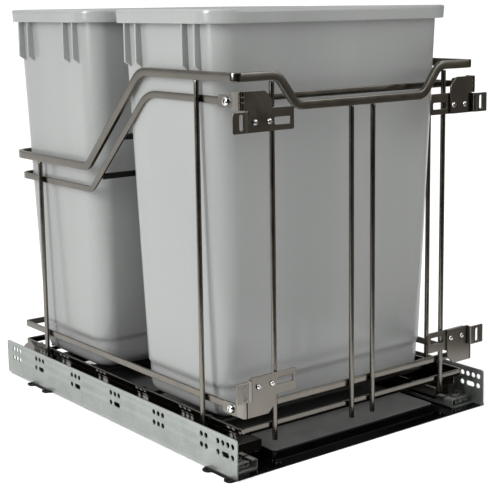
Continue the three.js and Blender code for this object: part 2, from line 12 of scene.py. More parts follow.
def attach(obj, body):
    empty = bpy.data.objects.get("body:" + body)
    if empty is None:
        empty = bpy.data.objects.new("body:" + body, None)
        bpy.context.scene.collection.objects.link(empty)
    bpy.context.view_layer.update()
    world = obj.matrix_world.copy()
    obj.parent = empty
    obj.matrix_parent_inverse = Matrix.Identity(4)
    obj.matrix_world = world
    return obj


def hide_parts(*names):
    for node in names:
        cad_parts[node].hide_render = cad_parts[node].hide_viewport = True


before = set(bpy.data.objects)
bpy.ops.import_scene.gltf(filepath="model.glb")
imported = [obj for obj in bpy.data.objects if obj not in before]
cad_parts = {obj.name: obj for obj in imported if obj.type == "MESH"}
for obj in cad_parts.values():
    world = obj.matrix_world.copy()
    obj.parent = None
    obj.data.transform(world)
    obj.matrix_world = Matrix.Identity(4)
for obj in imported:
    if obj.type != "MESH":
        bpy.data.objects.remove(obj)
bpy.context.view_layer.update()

MM = 0.001
Y_SHIFT = -266.5


def W(x, y, z):
    return Vector((x * MM, (y + Y_SHIFT) * MM, z * MM))


# ------------------------------------------------------------------ materials
def new_material(name):
    m = bpy.data.materials.new(name)
    m.use_nodes = True
    nt = m.node_tree
    nt.nodes.clear()
    out = nt.nodes.new("ShaderNodeOutputMaterial")
    b = nt.nodes.new("ShaderNodeBsdfPrincipled")
    nt.links.new(b.outputs["BSDF"], out.inputs["Surface"])
    return m, nt, b


def coords(nt, scale=(1, 1, 1)):
    tc = nt.nodes.new("ShaderNodeTexCoord")
    mp = nt.nodes.new("ShaderNodeMapping")
    mp.inputs["Scale"].default_value = scale
    nt.links.new(tc.outputs["Object"], mp.inputs["Vector"])
    return mp.outputs["Vector"]


def noise(nt, vec, scale, detail=3.0, rough=0.55, distortion=0.0):
    n = nt.nodes.new("ShaderNodeTexNoise")
    n.inputs["Scale"].default_value = scale
    n.inputs["Detail"].default_value = detail
    n.inputs["Roughness"].default_value = rough
    n.inputs["Distortion"].default_value = distortion
    nt.links.new(vec, n.inputs["Vector"])
    return n.outputs["Fac"]


def ramp(nt, fac, stops):
    r = nt.nodes.new("ShaderNodeValToRGB")
    e = r.color_ramp.elements
    while len(e) < len(stops):
        e.new(0.5)
    for el, (pos, col) in zip(e, stops):
        el.position = pos
        el.color = (*col, 1.0) if len(col) == 3 else col
    nt.links.new(fac, r.inputs["Fac"])
    return r.outputs["Color"]


def span(nt, fac, lo, hi, a=0.0, b=1.0):
    m = nt.nodes.new("ShaderNodeMapRange")
    m.inputs["From Min"].default_value = a
    m.inputs["From Max"].default_value = b
    m.inputs["To Min"].default_value = lo
    m.inputs["To Max"].default_value = hi
    nt.links.new(fac, m.inputs["Value"])
    return m.outputs["Result"]


def mix_value(nt, a, b, op="ADD"):
    m = nt.nodes.new("ShaderNodeMath")
    m.operation = op
    nt.links.new(a, m.inputs[0])
    if isinstance(b, (int, float)):
        m.inputs[1].default_value = b
    else:
        nt.links.new(b, m.inputs[1])
    return m.outputs["Value"]


def bump(nt, bsdf, height, strength, distance, under=None):
    b = nt.nodes.new("ShaderNodeBump")
    b.inputs["Strength"].default_value = strength
    b.inputs["Distance"].default_value = distance
    nt.links.new(height, b.inputs["Height"])
    if under is not None:
        nt.links.new(under, b.inputs["Normal"])
    if bsdf is not None:
        nt.links.new(b.outputs["Normal"], bsdf.inputs["Normal"])
    return b.outputs["Normal"]


def edge_factor(nt, lo, hi):
    """Convex edges of the mesh, lighter in colour: partly plating rubbed at the edges, partly a painted highlight along
    them.
    """
    g = nt.nodes.new("ShaderNodeNewGeometry")
    return span(nt, g.outputs["Pointiness"], 0.0, 1.0, lo, hi)


def make_zinc():
    m, nt, b = new_material("zinc_plated_steel")
    v = coords(nt)
    along = coords(nt, (1.0, 0.03, 1.0))
    cloud = noise(nt, v, 38.0, 5.0, 0.6, 0.4)
    flake = noise(nt, v, 420.0, 2.0, 0.5)
    streak = noise(nt, along, 900.0, 3.0, 0.6)
    mixed = mix_value(nt, mix_value(nt, cloud, 0.62, "MULTIPLY"), mix_value(nt, flake, 0.38, "MULTIPLY"))
    col = ramp(nt, mixed, [(0.30, (0.215, 0.230, 0.217)), (0.50, (0.272, 0.291, 0.274)), (0.72, (0.335, 0.356, 0.337))])
    # convex edges lightened: rubbed plating plus a painted highlight
    edge = edge_factor(nt, 0.52, 0.60)
    mx = nt.nodes.new("ShaderNodeMix")
    mx.data_type = "RGBA"
    nt.links.new(mix_value(nt, edge, 0.55, "MULTIPLY"), mx.inputs[0])
    nt.links.new(col, mx.inputs[6])
    mx.inputs[7].default_value = (0.52, 0.545, 0.52, 1.0)
    nt.links.new(mx.outputs[2], b.inputs["Base Color"])
    b.inputs["Metallic"].default_value = 0.86
    nt.links.new(span(nt, mix_value(nt, streak, cloud, "MULTIPLY"), 0.32, 0.48, 0.12, 0.42), b.inputs["Roughness"])
    n1 = bump(nt, None, streak, 0.10, 0.00012)
    bump(nt, b, flake, 0.12, 0.00010, n1)
    return m


def make_nickel(name="dark_nickel_plating", base=(0.168, 0.157, 0.139), rough=(0.17, 0.27)):
    m, nt, b = new_material(name)
    v = coords(nt)
    big = noise(nt, v, 26.0, 4.0, 0.55, 0.6)
    fine = noise(nt, v, 950.0, 2.0, 0.5)
    col = ramp(nt, big, [
        (0.28, tuple(c * 0.86 for c in base)), (0.52, base),
        (0.78, (base[0] * 1.16, base[1] * 1.12, base[2] * 1.04))])
    # convex edges lightened: rubbed plating plus a painted highlight
    edge = edge_factor(nt, 0.53, 0.60)
    mx = nt.nodes.new("ShaderNodeMix")
    mx.data_type = "RGBA"
    nt.links.new(mix_value(nt, edge, 0.30, "MULTIPLY"), mx.inputs[0])
    nt.links.new(col, mx.inputs[6])
    mx.inputs[7].default_value = (0.40, 0.38, 0.35, 1.0)
    nt.links.new(mx.outputs[2], b.inputs["Base Color"])
    b.inputs["Metallic"].default_value = 1.0
    nt.links.new(span(nt, big, rough[0], rough[1], 0.25, 0.8), b.inputs["Roughness"])
    bump(nt, b, fine, 0.05, 0.00005)
    return m


def make_low_nickel():
    """Same plating on the lower loop and runners, with a higher gloss and a darker colour that is painted shade."""
    return make_nickel("glossy_shade_painted_nickel", (0.130, 0.121, 0.108), (0.05, 0.10))


def make_shade_painted_nickel():
    """Wires, straps and cross bars under and between the bins: their near-black colour is painted shade."""
    m, nt, b = new_material("shade_painted_dark_nickel")
    v = coords(nt)
    n = noise(nt, v, 60.0, 4.0, 0.6, 0.5)
    nt.links.new(ramp(nt, n, [(0.3, (0.010, 0.0095, 0.009)), (0.75, (0.022, 0.021, 0.019))]), b.inputs["Base Color"])
    b.inputs["Metallic"].default_value = 0.6
    nt.links.new(span(nt, n, 0.32, 0.50, 0.3, 0.8), b.inputs["Roughness"])
    bump(nt, b, n, 0.15, 0.0002)
    return m


def make_black():
    """Gloss black coat; the top of the raised deck is painted a lighter grey as painted light, with a satin roughness.
    """
    m, nt, b = new_material("gloss_black_coat")
    v = coords(nt)
    peel = noise(nt, v, 210.0, 2.0, 0.45)
    dust = noise(nt, v, 34.0, 5.0, 0.65, 0.5)
    sep = nt.nodes.new("ShaderNodeSeparateXYZ")
    nt.links.new(v, sep.inputs["Vector"])
    # painted light: above 13.3 mm the colour turns a lighter grey for the lit top of the raised deck
    deck = span(nt, sep.outputs["Z"], 0.0, 1.0, 0.01325, 0.01385)
    mx = nt.nodes.new("ShaderNodeMix")
    mx.data_type = "RGBA"
    nt.links.new(deck, mx.inputs[0])
    nt.links.new(ramp(nt, dust, [(0.35, (0.0008, 0.0008, 0.0009)), (0.75, (0.0020, 0.0020, 0.0022))]), mx.inputs[6])
    nt.links.new(ramp(nt, dust, [(0.30, (0.070, 0.069, 0.068)), (0.75, (0.100, 0.099, 0.097))]), mx.inputs[7])
    nt.links.new(mx.outputs[2], b.inputs["Base Color"])
    rough = mix_value(nt, span(nt, dust, 0.08, 0.16, 0.3, 0.8), mix_value(nt, deck, 0.30, "MULTIPLY"))
    nt.links.new(rough, b.inputs["Roughness"])
    b.inputs["Specular IOR Level"].default_value = 0.10
    bump(nt, b, peel, 0.06, 0.00012)
    return m


def make_dark_zinc():
    m, nt, b = new_material("worn_zinc_casting")
    v = coords(nt)
    n = noise(nt, v, 190.0, 4.0, 0.65, 0.6)
    nt.links.new(ramp(nt, n, [(0.35, (0.10, 0.105, 0.10)), (0.55, (0.24, 0.25, 0.24)), (0.72, (0.60, 0.62, 0.60))]), b.inputs["Base Color"])
    b.inputs["Metallic"].default_value = 0.9
    nt.links.new(span(nt, n, 0.20, 0.40, 0.3, 0.8), b.inputs["Roughness"])
    bump(nt, b, n, 0.9, 0.0012)
    return m


def make_chrome():
    m, nt, b = new_material("bright_chrome")
    v = coords(nt)
    n = noise(nt, v, 160.0, 3.0, 0.5)
    nt.links.new(ramp(nt, n, [(0.3, (0.56, 0.56, 0.57)), (0.7, (0.70, 0.70, 0.70))]), b.inputs["Base Color"])
    b.inputs["Metallic"].default_value = 1.0
    nt.links.new(span(nt, n, 0.07, 0.15, 0.3, 0.7), b.inputs["Roughness"])
    bump(nt, b, n, 0.04, 0.00005)
    return m


def make_bin_plastic(name="grey_bin_plastic", k=1.0):
    m, nt, b = new_material(name)
    v = coords(nt)
    flow = coords(nt, (1.0, 1.0, 0.10))
    cloud = noise(nt, flow, 11.0, 3.0, 0.50)
    wide = noise(nt, flow, 4.0, 2.0, 0.5, 0.3)
    grain = noise(nt, v, 1500.0, 2.0, 0.5)
    fleck = noise(nt, v, 260.0, 3.0, 0.6)
    mixed = mix_value(nt, mix_value(nt, cloud, 0.6, "MULTIPLY"), mix_value(nt, wide, 0.4, "MULTIPLY"))
    col = ramp(nt, mixed, [(0.30, (0.205 * k, 0.211 * k, 0.207 * k)), (0.50, (0.224 * k, 0.231 * k, 0.226 * k)),
                           (0.70, (0.244 * k, 0.251 * k, 0.245 * k))])
    mx = nt.nodes.new("ShaderNodeMix")
    mx.data_type = "RGBA"
    mx.blend_type = "MULTIPLY"
    mx.inputs[0].default_value = 0.12
    nt.links.new(col, mx.inputs[6])
    nt.links.new(ramp(nt, fleck, [(0.35, (0.88, 0.88, 0.88)), (0.60, (1.0, 1.0, 1.0))]), mx.inputs[7])
    nt.links.new(mx.outputs[2], b.inputs["Base Color"])
    nt.links.new(span(nt, mix_value(nt, cloud, fleck, "MULTIPLY"), 0.20, 0.28, 0.15, 0.45), b.inputs["Roughness"])
    b.inputs["Specular IOR Level"].default_value = 0.55
    b.inputs["Subsurface Weight"].default_value = 0.06
    b.inputs["Subsurface Radius"].default_value = (0.9, 0.9, 0.85)
    b.inputs["Subsurface Scale"].default_value = 0.004
    n1 = bump(nt, None, grain, 0.02, 0.00003)
    bump(nt, b, mixed, 0.30, 0.0006, n1)
    return m


def make_cage():
    m, nt, b = new_material("off_white_bearing_plastic")
    v = coords(nt)
    n = noise(nt, v, 60.0, 4.0, 0.6)
    nt.links.new(ramp(nt, n, [(0.3, (0.62, 0.62, 0.57)), (0.7, (0.74, 0.74, 0.69))]), b.inputs["Base Color"])
    nt.links.new(span(nt, n, 0.42, 0.6), b.inputs["Roughness"])
    bump(nt, b, noise(nt, v, 700.0), 0.08, 0.0001)
    return m


ZINC = make_zinc()
NICKEL = make_nickel()
# darker copy of the plating: painted shade on the lower loop and runners
NICKEL_LOW = make_low_nickel()
# near-black painted shade for the wires, straps and cross bars under and between the bins
NICKEL_SHADE_PAINTED = make_shade_painted_nickel()
BLACK = make_black()
CHROME = make_chrome()
PLASTIC = make_bin_plastic()
CAGE = make_cage()
STOP = make_dark_zinc()


# --------------------------------------------------------------- mesh helpers
def finish_mesh(bm, name, material, node, body, angle=32.0, weld=True):
    if weld:
        bmesh.ops.remove_doubles(bm, verts=bm.verts, dist=2e-6)
    bmesh.ops.recalc_face_normals(bm, faces=bm.faces)
    me = bpy.data.meshes.new(name)
    bm.to_mesh(me)
    bm.free()
    for p in me.polygons:
        p.use_smooth = True
    me.set_sharp_from_angle(angle=math.radians(angle))
    me.materials.append(material)
    o = bpy.data.objects.new(name, me)
    bpy.context.scene.collection.objects.link(o)
    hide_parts(*([node] if isinstance(node, str) else node))
    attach(o, body)
    return o


def grid_faces(bm, rows, close_rows=False, close_cols=True):
    """Quads between successive rows of vertices."""
    n = len(rows)
    last = n if close_rows else n - 1
    for i in range(last):
        a, b = rows[i], rows[(i + 1) % n]
        k = len(a)
        for j in range(k if close_cols else k - 1):
            j2 = (j + 1) % k
            bm.faces.new((a[j], a[j2], b[j2], b[j]))


def loft(bm, rings, cap_first=False, cap_last=False, close_rows=False):
    rows = [[bm.verts.new(p) for p in r] for r in rings]
    grid_faces(bm, rows, close_rows=close_rows)
    if cap_first:
        bm.faces.new(list(reversed(rows[0])))
    if cap_last:
        bm.faces.new(rows[-1])
    return rows


def rounded_section(w, h, r, n=4):
    pts = []
    for cx, cy, a0 in ((w / 2 - r, -h / 2 + r, -90), (w / 2 - r, h / 2 - r, 0),
                       (-w / 2 + r, h / 2 - r, 90), (-w / 2 + r, -h / 2 + r, 180)):
        for i in range(n + 1):
            a = math.radians(a0 + 90 * i / n)
            pts.append((cx + r * math.cos(a), cy + r * math.sin(a)))
    return pts


def bent_line(points, radii, n=14, step=None):
    """Samples (u, v, angle) along a line whose corners are rounded."""
    out = []
    pts = [Vector(p) for p in points]

    def straight(a, b):
        if step is None:
            return
        length = (b - a).length
        k = int(length // step)
        for i in range(1, k + 1):
            q = a.lerp(b, i / (k + 1))
            out.append((q.x, q.y, math.atan2(b.y - a.y, b.x - a.x)))

    prev = pts[0]
    d = pts[1] - pts[0]
    out.append((pts[0].x, pts[0].y, math.atan2(d.y, d.x)))
    for i in range(1, len(pts) - 1):
        u = (pts[i] - pts[i - 1]).normalized()
        v = (pts[i + 1] - pts[i]).normalized()
        au = math.atan2(u.y, u.x)
        turn = (math.atan2(v.y, v.x) - au + math.pi) % (2 * math.pi) - math.pi
        r = radii[i - 1]
        t = r * math.tan(abs(turn) / 2)
        s = math.copysign(1.0, turn)
        start = pts[i] - u * t
        straight(prev, start)
        c = start + Vector((-u.y, u.x)) * r * s
        for k in range(n + 1):
            a = au + turn * k / n
            nx, ny = -math.sin(a), math.cos(a)
            out.append((c.x - nx * r * s, c.y - ny * r * s, a))
        prev = pts[i] + v * t
    straight(prev, pts[-1])
    d = pts[-1] - pts[-2]
    out.append((pts[-1].x, pts[-1].y, math.atan2(d.y, d.x)))
    return out


def sheet_section(points, radii, t, n=6):
    """Closed outline of bent sheet of thickness t about a centre line."""
    line = bent_line(points, radii, n)
    up = [(x - math.sin(a) * t / 2, y + math.cos(a) * t / 2) for x, y, a in line]
    down = [(x + math.sin(a) * t / 2, y - math.cos(a) * t / 2) for x, y, a in line]
    return up + down[::-1]


def prism(bm, outline, lo, hi, axis, soft=0.0, side=1):
    """Outline extruded along an axis, its end edges softened by a small step in."""
    def put(a, b, c):
        if axis == "y":
            return W(side * a, c, b)
        if axis == "x":
            return W(side * c, a, b)
        return W(side * a, b, c)
    pts = np.array(outline, float)
    if soft > 0:
        nxt, prv = np.roll(pts, -1, 0), np.roll(pts, 1, 0)
        d1, d2 = pts - prv, nxt - pts
        d1 /= np.maximum(np.linalg.norm(d1, axis=1, keepdims=True), 1e-9)
        d2 /= np.maximum(np.linalg.norm(d2, axis=1, keepdims=True), 1e-9)
        area = 0.5 * np.sum(pts[:, 0] * nxt[:, 1] - nxt[:, 0] * pts[:, 1])
        s = 1.0 if area > 0 else -1.0
        n1 = np.stack([-d1[:, 1], d1[:, 0]], 1) * s
        n2 = np.stack([-d2[:, 1], d2[:, 0]], 1) * s
        nn = n1 + n2
        nn /= np.maximum(np.linalg.norm(nn, axis=1, keepdims=True), 1e-9)
        k = 1.0 / np.maximum(np.sum(nn * n1, 1, keepdims=True), 0.5)
        inner = pts + nn * k * soft
        half = pts + nn * k * soft * 0.3
        levels = [(inner, lo), (half, lo + soft * 0.3), (pts, lo + soft), (pts, hi - soft), (half, hi - soft * 0.3), (inner, hi)]
    else:
        levels = [(pts, lo), (pts, hi)]
    rings = [[put(a, b, c) for a, b in ring] for ring, c in levels]
    loft(bm, rings, True, True)


def circle_pts(cx, cy, r, n=28):
    return [(cx + r * math.cos(2 * math.pi * i / n), cy + r * math.sin(2 * math.pi * i / n)) for i in range(n)]


def slot_pts(x0, x1, y0, y1, r, n=7):
    out = []
    for cx, cy, a0 in ((x1 - r, y0 + r, -90), (x1 - r, y1 - r, 0), (x0 + r, y1 - r, 90), (x0 + r, y0 + r, 180)):
        for i in range(n + 1):
            a = math.radians(a0 + 90 * i / n)
            out.append((cx + r * math.cos(a), cy + r * math.sin(a)))
    return out


def plate(bm, outline, holes, lo, hi, axis, bevel=0.22, side=1):
    """Flat plate with real holes and rounded edges, made by a filled curve."""
    cu = bpy.data.curves.new("plate_tmp", "CURVE")
    cu.dimensions = "2D"
    cu.fill_mode = "BOTH"
    cu.extrude = (hi - lo) / 2 - bevel
    cu.bevel_depth = bevel
    cu.bevel_resolution = 1
    cu.offset = -bevel
    for loop in [outline] + list(holes):
        sp = cu.splines.new("POLY")
        sp.points.add(len(loop) - 1)
        for p, (a, b) in zip(sp.points, loop):
            p.co = (a, b, 0, 1)
        sp.use_cyclic_u = True
    o = bpy.data.objects.new("plate_tmp", cu)
    bpy.context.scene.collection.objects.link(o)
    dg = bpy.context.evaluated_depsgraph_get()
    me = bpy.data.meshes.new_from_object(o.evaluated_get(dg))
    mid = (lo + hi) / 2
    for v in me.vertices:
        a, b, c = v.co.x, v.co.y, v.co.z + mid
        if axis == "x":
            v.co = W(side * c, a, b)
        elif axis == "y":
            v.co = W(side * a, c, b)
        else:
            v.co = W(side * a, b, c)
    bm.from_mesh(me)
    bpy.data.objects.remove(o)
    bpy.data.curves.remove(cu)
    bpy.data.meshes.remove(me)


def bar_sweep(bm, frames, w, h, r, closed):
    """A flat bar: frames are (point, outward, up) in mm."""
    sec = rounded_section(w, h, r)
    rings = []
    for p, n, u in frames:
        rings.append([W(*(p + n * a + u * b)) for a, b in sec])
    if closed:
        loft(bm, rings, close_rows=True)
    else:
        loft(bm, rings, True, True)


def loop_plan(hx, y0, y1, r_front, r_back, t, step=3.0, open_front=None):
    """Middle line of a bar bent round a rectangle: (x, y, heading)."""
    m = t / 2
    pts = []
    X, Y0, Y1 = hx - m, y0 + m, y1 - m
    rf, rb = r_front - m, r_back - m

    def line(a, b):
        a, b = np.array(a, float), np.array(b, float)
        n = max(1, int(np.linalg.norm(b - a) // step))
        h = math.atan2(b[1] - a[1], b[0] - a[0])
        for i in range(n):
            q = a + (b - a) * (i / n)
            pts.append((q[0], q[1], h))

    def arc(cx, cy, r, a0):
        n = 14
        for i in range(n):
            a = math.radians(a0 + 90 * i / n)
            pts.append((cx + r * math.cos(a), cy + r * math.sin(a), a + math.pi / 2))

    if open_front is None:
        line((-X + rf, Y0), (X - rf, Y0))
        arc(X - rf, Y0 + rf, rf, -90)
        line((X, Y0 + rf), (X, Y1 - rb))
    else:
        line((X, open_front), (X, Y1 - rb))
    arc(X - rb, Y1 - rb, rb, 0)
    line((X - rb, Y1), (-X + rb, Y1))
    arc(-X + rb, Y1 - rb, rb, 90)
    if open_front is None:
        line((-X, Y1 - rb), (-X, Y0 + rf))
        arc(-X + rf, Y0 + rf, rf, 180)
    else:
        line((-X, Y1 - rb), (-X, open_front))
        pts.append((-X, open_front, -math.pi / 2))
    return pts


def frames_on(plan, height):
    """height(x, y) -> (z, slope along +x, slope along +y) at a plan point."""
    out = []
    for x, y, h in plan:
        z, sx, sy = height(x, y)
        d = Vector((math.cos(h), math.sin(h), 0))
        slope = math.atan(sx * d.x + sy * d.y)
        n = Vector((d.y, -d.x, 0))
        u = Vector((0, 0, 1)) * math.cos(slope) - d * math.sin(slope)
        out.append((Vector((x, y, z)), n, u))
    return out


def profile_function(points, radii):
    line = bent_line(points, radii, 16, 4.0)
    u = np.array([q[0] for q in line])
    v = np.array([q[1] for q in line])
    s = np.tan([q[2] for q in line])
    return lambda t: (float(np.interp(t, u, v)), float(np.interp(t, u, s)))


# ---------------------------------------------------------------- dimensions
TOP_X, TOP_T, TOP_H, TOP_Y0, TOP_Y1 = 184.0, 6.0, 10.0, 12.0, 521.0
TOP_HIGH, TOP_DIP, TOP_LOW = 436.0, 402.0, 313.0
SEC_X, SEC_T, SEC_H, SEC_Y0, SEC_Y1 = 177.7, 3.0, 8.0, 21.0, 515.0
SEC_HIGH, SEC_LOW = 410.5, 283.5
LOOP_X, LOOP_Y0, LOOP_Y1, LOOP_T, LOOP_H = 177.5, 18.3, 515.0, 3.0, 8.0
ROD_R, ROD_Z0 = 3.0, 30.0


def make_top_rail():
    front = profile_function(
        [(-200, TOP_HIGH), (-124, TOP_HIGH), (-98, TOP_DIP), (98, TOP_DIP), (124, TOP_HIGH), (200, TOP_HIGH)],
        [18, 18, 18, 18])
    flank = profile_function([(0, TOP_HIGH), (196, TOP_HIGH), (321, TOP_LOW), (560, TOP_LOW)], [32, 20])

    def height(x, y):
        if y < 60:
            z, s = front(x)
            return z, s, 0.0
        z, s = flank(y)
        return z, 0.0, s

    bm = bmesh.new()
    plan = loop_plan(TOP_X, TOP_Y0, TOP_Y1, 10, 28, TOP_T, 2.5)
    bar_sweep(bm, frames_on(plan, height), TOP_T, TOP_H, 1.1, True)
    return finish_mesh(bm, "top_rail_bar", NICKEL, "top_rail", "carriage")


def make_second_rail():
    flank = profile_function([(0, SEC_HIGH), (190, SEC_HIGH), (321, SEC_LOW), (560, SEC_LOW)], [45, 20])

    def height(x, y):
        z, s = flank(y)
        return z, 0.0, s

    bm = bmesh.new()
    plan = loop_plan(SEC_X, 0, SEC_Y1, 5, 21, SEC_T, 2.5, open_front=SEC_Y0)
    bar_sweep(bm, frames_on(plan, height), SEC_T, SEC_H, 0.7, False)
    finish_mesh(bm, "second_rail_bar", NICKEL, "second_rail", "carriage")
    bm = bmesh.new()
    x = SEC_X - SEC_T - 0.3
    sec = rounded_section(SEC_T, SEC_H, 0.7)
    rings = [[W(xx, 46.5 + a, SEC_HIGH + b) for a, b in sec] for xx in np.linspace(-x, x, 30)]
    loft(bm, rings, True, True)
    finish_mesh(bm, "second_rail_cross_bar", NICKEL, "second_rail_front_bar", "carriage")
    # the two cross bars between the bins are painted near-black as shade
    for place, y, z0, z1 in (("middle", 254.0, 351.0, 358.0), ("rear", 297.0, 298.5, 306.0)):
        bm = bmesh.new()
        sec = rounded_section(SEC_T, z1 - z0, 0.7)
        rings = [[W(xx, y + a, (z0 + z1) / 2 + b) for a, b in sec] for xx in np.linspace(-x, x, 30)]
        loft(bm, rings, True, True)
        finish_mesh(bm, f"{place}_cross_bar", NICKEL_SHADE_PAINTED, f"second_rail_{place}_cross_bar", "carriage")


def make_base_loops():
    for node, top in (("lower_base_loop", 50.5), ("upper_base_loop", 76.5)):
        bm = bmesh.new()
        plan = loop_plan(LOOP_X, LOOP_Y0, LOOP_Y1, 5, 5, LOOP_T, 8.0)
        z = top - LOOP_H / 2
        bar_sweep(bm, frames_on(plan, lambda x, y: (z, 0, 0)), LOOP_T, LOOP_H, 0.7, True)
        finish_mesh(bm, node + "_bar", NICKEL_LOW if top < 60 else NICKEL, node, "carriage")


def make_rods():
    top_h = TOP_HIGH - TOP_H / 2
    rods = [
        ("front_outer_rod", 132.5, 15.0, top_h - 0.9),
        ("front_inner_rod", 16.6, 15.0, TOP_DIP - TOP_H / 2 - 0.3),
        ("side_front_rod", 181.0, 85.0, top_h - 0.3),
        ("side_rear_rod", 181.0, 446.0, TOP_LOW - TOP_H / 2 - 0.3),
        ("back_rod", 132.5, LOOP_Y1 + 3.3, TOP_LOW - TOP_H / 2 - 0.3),
    ]
    for name, x, y, top in rods:
        for side, s in (("left", -1), ("right", 1)):
            bm = bmesh.new()
            prof = [(0.0, ROD_Z0 + 0.02), (ROD_R - 0.9, ROD_Z0 + 0.02), (ROD_R - 0.3, ROD_Z0 + 0.3), (ROD_R, ROD_Z0 + 0.95)]
            n = 22
            prof += [(ROD_R, ROD_Z0 + 0.95 + (top - ROD_Z0 - 2.6) * i / n) for i in range(1, n + 1)]
            prof += [(ROD_R - 0.05, top - 0.35), (ROD_R - 0.25, top), (0.0, top)]
            rings = []
            for r, z in prof:
                rr = max(r, 0.001)
                rings.append([W(s * x + rr * math.cos(2 * math.pi * k / 28), y + rr * math.sin(2 * math.pi * k / 28), z) for k in range(28)])
            loft(bm, rings, True, True)
            finish_mesh(bm, f"{side}_{name}_round", NICKEL, f"{side}_{name}", "carriage", 50)


def make_wires_and_straps():
    zc, xe, r = 37.4, 171.1, 2.8
    for node, y in (("front_bin_front_wire", 85), ("front_bin_rear_wire", 222), ("rear_bin_front_wire", 346), ("rear_bin_rear_wire", 483)):
        bm = bmesh.new()
        rings = []
        line = bent_line([(-xe, 49.0), (-xe, zc), (xe, zc), (xe, 49.0)], [4.0, 4.0], 10, 12.0)
        last = len(line) - 1
        for i, (x, z, a) in enumerate(line):
            for off, k in (((0.0, 0.82), (0.35, 1.0)) if i == 0 else ((-0.35, 1.0), (0.0, 0.82)) if i == last else ((0.0, 1.0),)):
                px, pz = x + off * math.cos(a), z + off * math.sin(a)
                nx, nz = -math.sin(a), math.cos(a)
                rings.append([W(px + nx * r * k * math.cos(t), y + r * k * math.sin(t), pz + nz * r * k * math.cos(t))
                              for t in [2 * math.pi * j / 20 for j in range(20)]])
        loft(bm, rings, True, True)
        finish_mesh(bm, node + "_round", NICKEL_SHADE_PAINTED, node, "carriage", 50)
    for node, y in (("front_runner_strap", 112), ("rear_runner_strap", 448)):
        bm = bmesh.new()
        x = LOOP_X - LOOP_T - 0.3 - 1.0
        sec = sheet_section([(-x, 50), (-x, 30.8), (x, 30.8), (x, 50)], [3.0, 3.0], 2.0)
        prism(bm, sec, y, y + 25, "y", 0.25)
        if node == "rear_runner_strap":
            plate(bm, [(-138, 16), (138, 16), (138, 38.5), (137, 39.5), (-137, 39.5), (-138, 38.5)], [], y + 12, y + 14, "y", 0.25)
        finish_mesh(bm, node + "_bent", NICKEL_SHADE_PAINTED, node, "carriage", 16)


def make_runners():
    for side, s in (("left", -1), ("right", 1)):
        bm = bmesh.new()
        sec = sheet_section([(140.75, 15), (140.75, 28.75), (175.25, 28.75), (175.25, 15)], [1.9, 0.9], 1.5)
        prism(bm, sec, 30.2, 525, "y", 0.2, s)
        front = slot_pts(140.0, 176.0, 15.0, 29.5, 2.2, 5)
        plate(bm, front, [], 29.5, 31.0, "y", 0.35, s)
        side_wall = [(30.0, 16.0), (525.0, 16.0), (525.0, 36.2), (524.6, 37.0), (517.6, 41.9), (516.6, 42.2), (37.0, 42.2), (36.0, 41.9), (30.3, 37.4), (30.0, 36.6)]
        plate(bm, side_wall, [], 174.5, 176.0, "x", 0.25, s)
        finish_mesh(bm, f"{side}_runner_channel", NICKEL_LOW, f"{side}_runner", "carriage", 16)


def make_slides():
    for side, s in (("left", -1), ("right", 1)):
        bm = bmesh.new()
        sec = sheet_section([(192.25, 14), (192.25, 8.95), (167.75, 8.95), (167.75, 22.45), (146, 22.45)], [1.6, 1.6, 1.2], 1.5)
        prism(bm, sec, 32, 520, "y", 0.2, s)
        finish_mesh(bm, f"{side}_intermediate_rail", ZINC, f"{side}_intermediate_member", f"{side}_intermediate", 16)
        # front stop: a moulded cap with ribs, clipped into the channel
        bm = bmesh.new()
        plate(bm, slot_pts(166, 194.3, 5.6, 12.1, 1.6), [circle_pts(171.2, 8.8, 1.6, 20), circle_pts(189, 8.8, 1.6, 20)], 19.5, 22.0, "y", 0.3, s)
        prism(bm, slot_pts(166.4, 193.9, 6.0, 11.7, 1.4), 21.8, 31.7, "y", 0.4, s)
        for x in (175.5, 180.1, 184.7):
            prism(bm, slot_pts(x - 0.7, x + 0.7, 6.9, 10.9, 0.5, 3), 19.2, 20.2, "y", 0.2, s)
        prism(bm, slot_pts(169, 191, 10.15, 12.05, 0.5, 3), 30.6, 44.0, "y", 0.4, s)
        finish_mesh(bm, f"{side}_slide_stop", STOP, f"{side}_intermediate_end_cap", f"{side}_intermediate", 24)
        for level, x0, x1, zc, r, y0, y1, pitch in (
                ("lower", 172, 190, 5.85, 2.0, 130, 390, 59), ("upper", 148, 168, 25.6, 2.1, 150, 394, 55)):
            bm = bmesh.new()
            prism(bm, slot_pts(x0, x1, y0, y1, 2.0, 4), zc - 0.6, zc + 0.6, "z", 0.15, s)
            y = y0 + 12
            while y < y1 - 8:
                rings = []
                for x, k in ((x0 + 1.5, 0.8), (x0 + 1.7, 1.0), (x1 - 1.7, 1.0), (x1 - 1.5, 0.8)):
                    rings.append([W(s * x, y + r * k * math.cos(2 * math.pi * i / 20), zc + r * k * math.sin(2 * math.pi * i / 20)) for i in range(20)])
                loft(bm, rings, True, True)
                y += pitch
            finish_mesh(bm, f"{side}_{level}_cage_rollers", CAGE, f"{side}_{level}_roller_cage", f"{side}_{level}_cage", 30)


TOP_ROW = [8.2, 16.8, 26, 35, 57.1, 65.9, 143.2, 152.3, 161.5, 239.2, 247.9, 257.4,
           334.8, 344.1, 353.4, 430.6, 440, 449.4, 497, 505.4, 514]
LOW_ROW = [8.5, 35, 57.1, 65.9, 143.2, 152.3, 161.5, 257.7, 353.6, 450.2, 497, 505.4, 514]
LOW_SLOTS = [21.4, 243.8, 339.4, 436]


